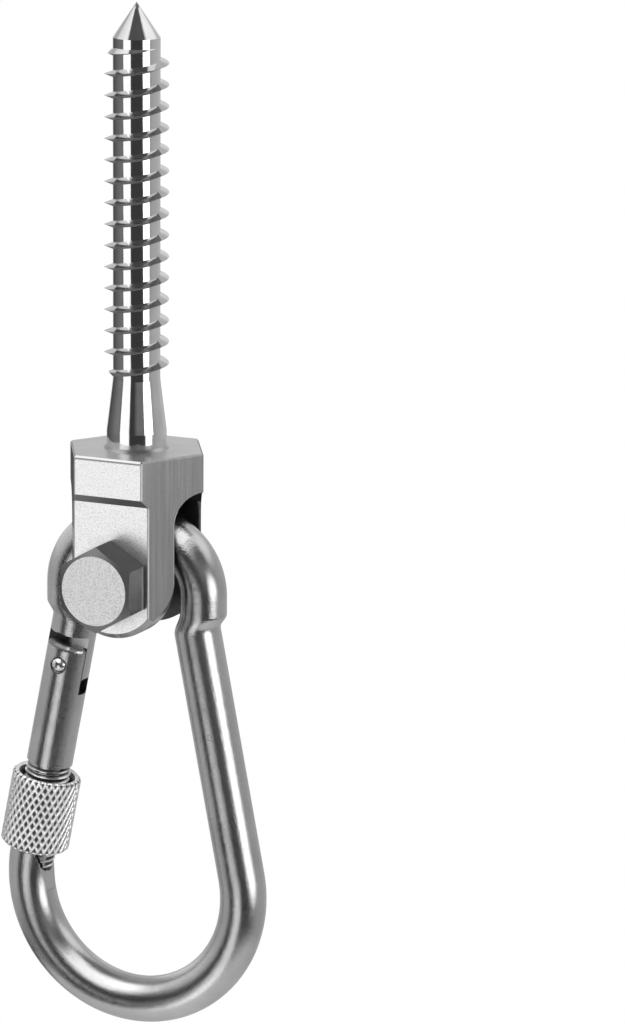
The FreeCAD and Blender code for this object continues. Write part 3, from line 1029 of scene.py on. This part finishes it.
def light_hook(s, floor):
    """Sets the soft boxes, most of which light only the hook's pieces or only the others."""
    hook = [frame["nodes"][name] for name in HOOK_NODES]
    hook += [bpy.data.objects[name] for name in HOOK_TRIM]
    left = upright_box("left_box", s.left_glow, s.lamp_distance, **LEFT_BOX)
    upright_box("right_disk", s.right_glow, s.lamp_distance, **RIGHT_DISK)
    top = soft_box("top_box", s.top_glow, **TOP_BOX)
    low = upright_box("low_box", s.low_glow, s.near_distance, **LOW_BOX)
    wall = upright_box("left_wall", s.wall_glow, s.lamp_distance, **LEFT_WALL)
    fill = upright_box("lock_fill", s.fill_glow, s.near_distance, **LOCK_FILL)
    light_link(left, hook, "EXCLUDE")
    light_link(fill, [bpy.data.objects["screw_lock_knurl"]], "INCLUDE")
    light_link(top, hook + [floor], "INCLUDE")
    light_link(low, hook, "INCLUDE")
    light_link(wall, hook, "INCLUDE")


def cloth_finish(name):
    """Studio cloth that shines by itself but isn't sampled as a lamp, its helper and its colour."""
    material = bpy.data.materials.new(name)
    material.use_nodes = True
    material.cycles.emission_sampling = "NONE"
    tree = material.node_tree
    tree.nodes.remove(tree.nodes["Principled BSDF"])
    maker = TreeMaker(tree)
    glow = maker.node("ShaderNodeEmission", Strength=1.0)
    maker.plug(tree.nodes["Material Output"].inputs["Surface"], glow.outputs["Emission"])
    return material, maker, glow.inputs["Color"]


def cloth_ring(maker, stops):
    """Grey of the tent round its upright axis, from stops of an azimuth from the front and a grey."""
    place = maker.axes(maker.place())
    around = maker.math("ARCTAN2", place["X"], maker.math("MULTIPLY", place["Y"], -1.0))
    share = maker.math("MULTIPLY_ADD", around, 1 / FULL_TURN, 0.5)
    ramp = maker.node("ShaderNodeValToRGB", Fac=share)
    elements = ramp.color_ramp.elements
    while len(elements) < len(stops):
        elements.new(0.5)
    for element, (azimuth, level) in zip(elements, stops):
        element.position = (azimuth + 180) / 360
        element.color = grey(level)
    return ramp.outputs["Color"]


def tent_finish(s):
    """Cloth of the tent: dark in front, overhead and low behind, grey elsewhere, light above the sides."""
    material, maker, colour = cloth_finish("tent_cloth")
    way = maker.vector("NORMALIZE", maker.place())["Vector"]
    height = maker.axes(way)["Z"]
    overhead = maker.vector("DOT_PRODUCT", way, OVERHEAD_WAY)["Value"]
    back = -Vector(s.camera_place).normalized()
    behind = maker.ramp(maker.vector("DOT_PRODUCT", way, back)["Value"], *BEHIND_EDGES)
    cloth = maker.layers(
        cloth_ring(maker, LOW_CLOTH),
        (maker.ramp(height, *LOW_TO_LEVEL), cloth_ring(maker, LEVEL_CLOTH)),
        (maker.ramp(height, *LEVEL_TO_UPPER), cloth_ring(maker, UPPER_CLOTH)),
        (maker.ramp(overhead, *OVERHEAD_EDGES), grey(OVERHEAD_CLOTH)),
        (maker.all_of(behind, maker.ramp(height, *BEHIND_TOP)), grey(BEHIND_CLOTH)),
    )
    maker.plug(colour, cloth)
    return material


def floor_finish():
    """Plain pale floor."""
    material, maker, shader = new_finish("pale_floor", metallic=0.0)
    tone = maker.group("handling_tone", Size=400.0)["Tone"]
    maker.plug(shader["Base Color"], maker.mix(tone, *(grey(level) for level in FLOOR_GREYS)))
    shader["Roughness"].default_value = 0.9
    return material


def stage_surface(name, bm, material):
    """Links a bmesh as a surface of the stage."""
    mesh = bpy.data.meshes.new(name)
    bm.to_mesh(mesh)
    bm.free()
    surface = bpy.data.objects.new(name, mesh)
    surface.data.materials.append(material)
    bpy.context.scene.collection.objects.link(surface)
    return surface


def pale_floor(s):
    """Round floor well below the hook."""
    bm = bmesh.new()
    bmesh.ops.create_circle(bm, cap_ends=True, segments=FLOOR_SIDES, radius=s.floor_radius)
    floor = stage_surface("floor", bm, floor_finish())
    floor.location.z = -s.floor_depth
    return floor


def cloth_tent(s):
    """Tent round the hook and the lamps, which shows only in reflections."""
    bm = bmesh.new()
    bmesh.ops.create_uvsphere(bm, u_segments=TENT_COLUMNS, v_segments=TENT_ROWS, radius=s.tent_radius)
    tent = stage_surface("tent", bm, tent_finish(s))
    tent.visible_camera = False
    tent.visible_shadow = False


def white_world():
    """White to the eye and in reflections, softer as light."""
    world = bpy.data.worlds.new("studio_white")
    world.use_nodes = True
    bpy.context.scene.world = world
    maker = TreeMaker(world.node_tree)
    ray = maker.node("ShaderNodeLightPath").outputs
    seen = maker.math("MAXIMUM", ray["Is Camera Ray"], ray["Is Glossy Ray"])
    seen = maker.math("MAXIMUM", seen, ray["Is Transmission Ray"])
    sky = world.node_tree.nodes["Background"].inputs
    sky["Color"].default_value = grey(1)
    maker.plug(sky["Strength"], maker.ramp(seen, 0.0, 1.0, SKY_LIGHT, SKY_SEEN))


def photo_camera(s):
    """Camera at the photograph's viewing angle."""
    camera = bpy.data.cameras.new("photo_camera")
    camera.lens = s.lens
    camera.sensor_width = SENSOR_WIDTH
    camera.clip_start = CLIP_START
    eye = bpy.data.objects.new("photo_camera", camera)
    eye.location = s.camera_place
    eye.rotation_euler = s.camera_turn
    bpy.context.scene.collection.objects.link(eye)
    bpy.context.scene.camera = eye


# Operators

# Roughness of the small bright pieces
RIVET_ROUGHNESS = 0.14
PLUNGER_ROUGHNESS = 0.2
SPRING_ROUGHNESS = 0.25


class HOOK_OT_groups(bpy.types.Operator):
    """Make the shader groups that the finishes share"""

    bl_idname = "hook.shader_groups"
    bl_label = "Shared surface effects"

    def execute(self, context):
        grain_group()
        streak_group()
        handling_group()
        gate_place_group()
        return {"FINISHED"}


class HOOK_OT_clevis(bpy.types.Operator):
    """Finish the wood screw and clevis, its bolt, nut and locking ring"""

    bl_idname = "hook.clevis"
    bl_label = "Screw, clevis and bolt"

    def execute(self, context):
        colours = context.scene.hook_finish
        dress("clevis_screw", clevis_finish(colours))
        turned = bolt_finish(colours)
        dress("clevis_bolt", turned)
        dress("lock_nut", turned)
        dress("lock_ring", ring_finish(colours))
        return {"FINISHED"}


class HOOK_OT_hook(bpy.types.Operator):
    """Finish the bent hook, its gate and the hinge pieces"""

    bl_idname = "hook.body"
    bl_label = "Hook, gate and hinge"

    def execute(self, context):
        colours = context.scene.hook_finish
        dress("hook_body", wire_finish("hook_finish", colours, tang_gap_shade, tang_corner))
        dress("gate", wire_finish("gate_finish", colours, fork_shade))
        dress("hinge_rivet", bright_finish("rivet_finish", colours, RIVET_ROUGHNESS))
        dress("gate_plunger", bright_finish("plunger_finish", colours, PLUNGER_ROUGHNESS))
        return {"FINISHED"}


class HOOK_OT_lock(bpy.types.Operator):
    """Build the knurled screw lock"""

    bl_idname = "hook.screw_lock"
    bl_label = "Knurled screw lock"

    def execute(self, context):
        s = context.scene.hook_lock
        finish = knurl_finish(context.scene.hook_finish, s)
        piece = new_piece("screw_lock_knurl", lock_mesh(s), finish, "screw_lock")
        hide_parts("knurled_nut")
        return {"FINISHED"}


class HOOK_OT_threads(bpy.types.Operator):
    """Build the gate's fine thread and its run on the lip"""

    bl_idname = "hook.gate_threads"
    bl_label = "Gate threads"

    def execute(self, context):
        s = context.scene.hook_thread
        finish = thread_finish(context.scene.hook_finish, s)
        new_piece("gate_thread", gate_thread_mesh(s), finish, "gate")
        lip = lip_thread_mesh(s, context.scene.hook_lock.bottom)
        new_piece("lip_thread", lip, finish, "gate")
        return {"FINISHED"}


class HOOK_OT_spring(bpy.types.Operator):
    """Build the coil spring"""

    bl_idname = "hook.gate_spring"
    bl_label = "Gate spring"

    def execute(self, context):
        s = context.scene.hook_spring
        finish = bright_finish("spring_finish", context.scene.hook_finish, SPRING_ROUGHNESS)
        coil = new_piece("spring_coil", coil_mesh(s), finish, "gate")
        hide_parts("gate_spring")
        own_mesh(coil)
        return {"FINISHED"}


class HOOK_OT_stage(bpy.types.Operator):
    """Set up the floor, tent, lamps, white background and camera"""

    bl_idname = "hook.stage"
    bl_label = "Studio"

    def execute(self, context):
        s = context.scene.hook_studio
        context.scene.view_settings.view_transform = "Standard"
        white_world()
        floor = pale_floor(s)
        cloth_tent(s)
        light_hook(s, floor)
        photo_camera(s)
        return {"FINISHED"}


class HOOK_PT_panel(bpy.types.Panel):
    """Lists the hook's pieces and settings"""

    bl_idname = "HOOK_PT_panel"
    bl_label = "Hanging hook"
    bl_space_type = "VIEW_3D"
    bl_region_type = "UI"
    bl_category = "Hook"

    def draw(self, context):
        for operator in OPERATORS:
            self.layout.operator(operator.bl_idname)
        for group in SETTINGS:
            column = self.layout.column()
            settings = getattr(context.scene, group)
            for name in settings.__annotations__:
                column.prop(settings, name)


OPERATORS = (
    HOOK_OT_groups,
    HOOK_OT_clevis,
    HOOK_OT_hook,
    HOOK_OT_lock,
    HOOK_OT_threads,
    HOOK_OT_spring,
    HOOK_OT_stage,
)
SETTINGS = {
    "hook_lock": LockSettings,
    "hook_thread": ThreadSettings,
    "hook_spring": SpringSettings,
    "hook_finish": FinishSettings,
    "hook_studio": StudioSettings,
}


def register():
    """Makes the settings, operators and panel known."""
    for group, kind in SETTINGS.items():
        bpy.utils.register_class(kind)
        setattr(bpy.types.Scene, group, PointerProperty(type=kind))
    for kind in OPERATORS + (HOOK_PT_panel,):
        bpy.utils.register_class(kind)


def unregister():
    """Takes them away again."""
    for kind in (HOOK_PT_panel,) + OPERATORS:
        bpy.utils.unregister_class(kind)
    for group, kind in SETTINGS.items():
        delattr(bpy.types.Scene, group)
        bpy.utils.unregister_class(kind)


def main():
    """Builds everything in order."""
    register()
    bpy.ops.hook.shader_groups()
    bpy.ops.hook.clevis()
    bpy.ops.hook.body()
    bpy.ops.hook.screw_lock()
    bpy.ops.hook.gate_threads()
    bpy.ops.hook.gate_spring()
    bpy.ops.hook.stage()


if __name__ == "__main__":
    main()
